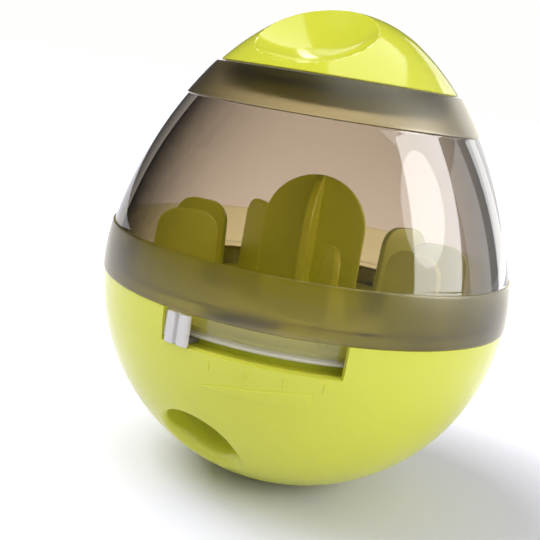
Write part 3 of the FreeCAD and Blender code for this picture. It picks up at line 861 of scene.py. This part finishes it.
# Baffle: two crossed satin lime blades with half-round tops on a cap over the tray's hub. They keep
# the food from bridging over the drop hole.
blade_half, blade_low, blade_round, blade_thick = 12.8, 43.964, 64.334, 2.0
hub_half, hub_roof = 8.1, 47.5
outline = [(blade_half, blade_low)]
for turn in range(0, 181, 5):
    a = math.radians(turn)
    outline.append((blade_half * math.cos(a), blade_round + blade_half * math.sin(a)))
outline += [(-blade_half, blade_low), (-hub_half, blade_low), (-hub_half, hub_roof)]
outline += [(hub_half, hub_roof), (hub_half, blade_low)]
blades = []
for turn in (-8, 82):
    blade = slab("blade", outline, blade_thick, back=blade_thick / 2)
    blade.matrix_world = Matrix.Rotation(math.radians(turn), 4, "Z")
    apply_all(blade)
    blades.append(soften(blade, 0.4, angle=60))
baffle = combine(blades[0], [blades[1]], "UNION")
ring = [(0, 50.084, 0), (10.0, 50.084, 0), (10.0, blade_low, 0.1), (hub_half, blade_low, 0.1)]
ring += [(hub_half, 47.484, 0), (0, 47.484, 0)]
ring = soften(lathe("ring", rounded(ring), 96, closed=False), 0.4, angle=60)
baffle.name = baffle.data.name = "baffle"
combine(baffle, [ring], "UNION")
finish(baffle, lime_satin, "base", "lime_satin", "centre_baffle", crease=31)


# Dome: the clear smoke upper half, moulded with a raised, frosted collar, a polished window and a
# raised, frosted neck band. A thin spigot below the collar drops inside the bowl's rim, with three
# lugs that the bowl's keepers hold. The neck carries the female thread.
collar_low, collar_high, band_low, dome_top = 48.084, 59.934, 92.034, 100.634
spigot_low, spigot_out, spigot_in, web_top = 42.134, 45.7, 43.7, 49.934
neck_in, neck_out, neck_low, plate_low, dome_wall = 23.009, 24.809, 93.034, 98.434, 2.2
collar_proud, band_proud = 0.4, 0.5

outer = [(spigot_out, spigot_low, 0.3), (spigot_out, collar_low, 0.2)]
outer += [(egg(collar_low, collar_proud), collar_low, 0.45)]
collar_rows = level_steps(collar_low + 0.9, collar_high - 0.9, 10)
outer += [(egg(z, collar_proud), z, 0) for z in collar_rows]
outer += [(egg(collar_high, collar_proud), collar_high, 0.3), (egg(collar_high), collar_high, 0.08)]
outer += [(egg(z), z, 0) for z in level_steps(collar_high + 0.5, band_low - 0.5, 44)]
outer += [(egg(band_low), band_low, 0.08), (egg(band_low, band_proud), band_low, 0.3)]
outer += [(egg(z, band_proud), z, 0) for z in level_steps(band_low + 0.9, dome_top - 0.9, 8)]
outer += [(egg(dome_top, band_proud), dome_top, 0.3), (neck_in, dome_top, 0.3)]
outer += [(neck_in, neck_low, 0.3), (neck_out, neck_low, 0.3)]
outer += [(neck_out, plate_low, 0.5), (egg(plate_low, -dome_wall), plate_low, 0.6)]
outer += [(egg(z, -dome_wall), z, 0) for z in level_steps(plate_low - 1.2, web_top + 1.2, 46)]
outer += [(egg(web_top, -dome_wall), web_top, 0.5), (spigot_in, web_top, 0.3)]
outer += [(spigot_in, spigot_low, 0.3)]
dome = lathe("dome", rounded(outer), 256)
lug_out, lug_high = 46.9, 44.134
lugs = [arc_block("lug", 45.72, lug_out, spigot_low, lug_high, at, 16.0) for at in lug_azimuths]
ridge = helix("ridge", [(22.99, 95.2), (22.1, 95.75), (22.99, 96.3)], 3.0, 1.4, steps=96)
join(dome, lugs + [ridge])

smoke = bpy.data.materials.new("smoke")
start = wiring(smoke)


def film(*colour):
    """Clear layer that tints what is seen through it."""
    return start.node("ShaderNodeBsdfTransparent", Color=(*colour, 1))


# Where a point lies on the dome: the frosted skins, and the neck, which is clearer inside.
spot = start.node("ShaderNodeTexCoord", out="Object")
x, y, height = (start.node("ShaderNodeSeparateXYZ", out=axis, Vector=spot) for axis in "XYZ")
radius = start.math("SQRT", x * x + y * y)
edge_gap = 0.02
in_collar = start.math("GREATER_THAN", height, (collar_low - edge_gap) * mm)
in_collar = in_collar * start.math("LESS_THAN", height, (collar_high + edge_gap) * mm)
skin_limit = start.node(
    "ShaderNodeMapRange", Value=height, From_Min=band_low * mm, From_Max=dome_top * mm,
    To_Min=34.2 * mm, To_Max=28.1 * mm,
)
in_band = start.math("GREATER_THAN", height, (band_low - edge_gap) * mm)
in_band = in_band * start.math("GREATER_THAN", radius, skin_limit)
frosted = in_collar * start.math("GREATER_THAN", radius, 48.9 * mm) + in_band
in_spigot = start.math("LESS_THAN", height, (collar_low - 0.05) * mm)

# How edge-on the wall is seen, which deepens the smoke; level ledges are left out.
front = 1.0 - start.node("ShaderNodeNewGeometry", out="Backfacing")
normal = start.node("ShaderNodeTexCoord", out="Normal")
tilt = start.math("ABSOLUTE", start.node("ShaderNodeSeparateXYZ", out="Z", Vector=normal))
upright = 1.0 - start.math("POWER", tilt, 4.0)
glance = start.node("ShaderNodeLayerWeight", out="Facing", Blend=0.5) * upright
sheen = start.node("ShaderNodeFresnel", IOR=1.5) * front

# The polished window: tinted, with a sharp gloss on its front.
deep = film(0.026, 0.020, 0.012)
on_neck = start.math("GREATER_THAN", radius, 26.0 * mm)
neck_clear = start.mix(on_neck, film(0.96, 0.95, 0.93), film(0.82, 0.765, 0.695))
tint = start.mix(start.math("POWER", glance, 2.0), neck_clear, deep)
gloss = start.node("ShaderNodeBsdfGlossy", Color=(1, 1, 1, 1), Roughness=0.05)
window = start.mix(sheen, tint, gloss)

# The frosted skins: a blurred view through, a milky veil and a satin sheen.
etch = start.node("ShaderNodeTexNoise", Vector=spot, Scale=2600.0, Detail=1.0)
rough_skin = start.node("ShaderNodeBump", Strength=0.35, Distance=0.06 * mm, Height=etch)
veil = start.node(
    "ShaderNodeBsdfPrincipled", Base_Color=(0.045, 0.038, 0.024, 1), Roughness=0.40, IOR=2.0,
    Normal=rough_skin,
)
haze = start.mix(0.45, veil, start.node("ShaderNodeBsdfTranslucent", Color=(0.42, 0.39, 0.20, 1)))
frost_tint = (0.90, 0.84, 0.50)
blur = start.node("ShaderNodeBsdfRefraction", Color=(*frost_tint, 1), Roughness=0.42, IOR=1.14)
depth = start.math("POWER", glance, 2.0 - 0.6 * in_collar - 1.0 * in_band)
darkened = depth + 0.35 * in_band * (1.0 - depth)
seen_through = start.mix(darkened, start.mix(front, film(*frost_tint), blur), deep)
satin = start.node(
    "ShaderNodeBsdfGlossy", Color=(0.91, 0.88, 0.77, 1), Roughness=0.32, Normal=rough_skin,
)
frost = start.mix(sheen, start.mix(0.08 + 0.32 * glance, seen_through, haze), satin)

# The clear spigot, with a pale band painted along its lower edge: a painted highlight for the light
# that its clear edge catches.
painted_edge_highlight = start.node("ShaderNodeBsdfPrincipled", Base_Color=(0.80, 0.79, 0.71, 1), Roughness=0.20)
painted_edge_highlight_share = start.node(
    "ShaderNodeMapRange", Value=height, From_Min=(spigot_low + 0.75) * mm,
    From_Max=(spigot_low + 1.0) * mm, To_Min=0.72, To_Max=0.06,
)
spigot = start.mix(painted_edge_highlight_share, start.mix(sheen, film(0.95, 0.94, 0.89), gloss), painted_edge_highlight)
surface = start.mix(in_spigot, start.mix(frosted, window, frost), spigot)
start.node("ShaderNodeOutputMaterial", Surface=surface)
finish(dome, smoke, "dome", "smoke", "dome_shell", crease=40.0)


# Fill cap: the egg's lime tip, a screw cap hollow below. Two ball-shaped finger scoops leave a grip
# between them that is turned like a key. The seal sits in a groove under its edge.
cap_low, plate_high, cap_wall, cap_round = 100.884, 103.284, 2.0, 0.25
groove_in, groove_out, groove_top = 25.109, 27.909, 101.484
skirt_in, skirt_out, skirt_low = 20.609, 21.75, 93.234
scoop_radius, scoop_reach, scoop_height, scoop_edge = 24.0, 24.309, 126.234, 0.2
shoulder_reach, shoulder_height, shoulder_radius, shoulder_end = egg_arcs[3]
_, tip_height, tip_radius, tip_end = egg_arcs[4]


def crown(offset, last, steps):
    """Outline of the egg's tip, set in by an offset, from the pole to an angle on its shoulder."""
    points = []
    for n in range(37):
        a = math.radians(tip_end - n)
        tip = tip_radius - offset
        points.append((tip * math.cos(a), tip_height + tip * math.sin(a)))
    for n in range(1, steps + 1):
        a = math.radians(shoulder_end + (last - shoulder_end) * n / steps)
        arm = shoulder_radius - offset
        points.append((shoulder_reach + arm * math.cos(a), shoulder_height + arm * math.sin(a)))
    return [(max(r, 0.0), z, 0) for r, z in points]


def shoulder_angle(height, offset):
    """Angle at which the shoulder's arc, set in by an offset, passes a height."""
    return math.degrees(math.asin((height - shoulder_height) / (shoulder_radius - offset)))


cap = crown(0, shoulder_angle(cap_low + cap_round, 0), 32) + [(egg(cap_low), cap_low, cap_round)]
cap += [(groove_out, cap_low, 0.1), (groove_out, groove_top, 0), (groove_in, groove_top, 0)]
cap += [(groove_in, cap_low, 0.1), (skirt_out, cap_low, 0.3), (skirt_out, skirt_low, 0.3)]
cap += [(skirt_in, skirt_low, 0.3), (skirt_in, plate_high, 0.3)]
cap += [(r, plate_high, 0) for r in level_steps(21.2, egg(plate_high) - 2.3, 12)]
cap += crown(cap_wall, shoulder_angle(plate_high + 0.4, cap_wall), 16)[::-1]
cap = lathe("cap", rounded(cap, steps=3), 320, closed=False)
scoop_centres = [place(azimuth, scoop_reach) for azimuth in (-26.5, 153.5)]
for vertex in cap.data.vertices:
    spot = vertex.co / mm
    reach = math.hypot(spot.x, spot.y)
    inside = reach < egg(min(spot.z, egg_top)) - 0.5
    if spot.z < (plate_high - 0.35 if inside else cap_low + 0.4):
        continue
    ball = scoop_radius + (cap_wall if inside else 0.0)
    for middle in scoop_centres:
        away = math.hypot(spot.x - middle.x, spot.y - middle.y)
        if away < ball:
            bottom = scoop_height - math.sqrt(ball ** 2 - away ** 2)
            blend = max(scoop_edge - abs(spot.z - bottom), 0.0) / scoop_edge
            spot.z = min(spot.z, bottom) - blend * blend * scoop_edge / 4
    vertex.co.z = max(spot.z, 101.8 if inside else cap_low + 0.4) * mm
join(cap, [helix("ridge", [(21.7, 93.7), (22.6, 94.25), (21.7, 94.8)], 3.0, 1.9, steps=96)])
lime_polish = lime_plastic("lime_polish", gloss_deep, gloss_bright, 0.12, 0.015)
finish(cap, lime_polish, "cap", "lime_gloss", "fill_cap", crease=14)


# Seal: a soft pale ring in the cap's groove.
seal_in, seal_out, seal_low, seal_top = 25.209, 27.809, 100.684, 101.384
seal = [(seal_in, seal_low, 0.25), (seal_out, seal_low, 0.25)]
seal = lathe("seal", rounded(seal + [(seal_out, seal_top, 0.2), (seal_in, seal_top, 0.2)]), 192)
finish(seal, plain("silicone", (0.85, 0.85, 0.82, 1), 0.55), "seal", "seal", "cap_seal")
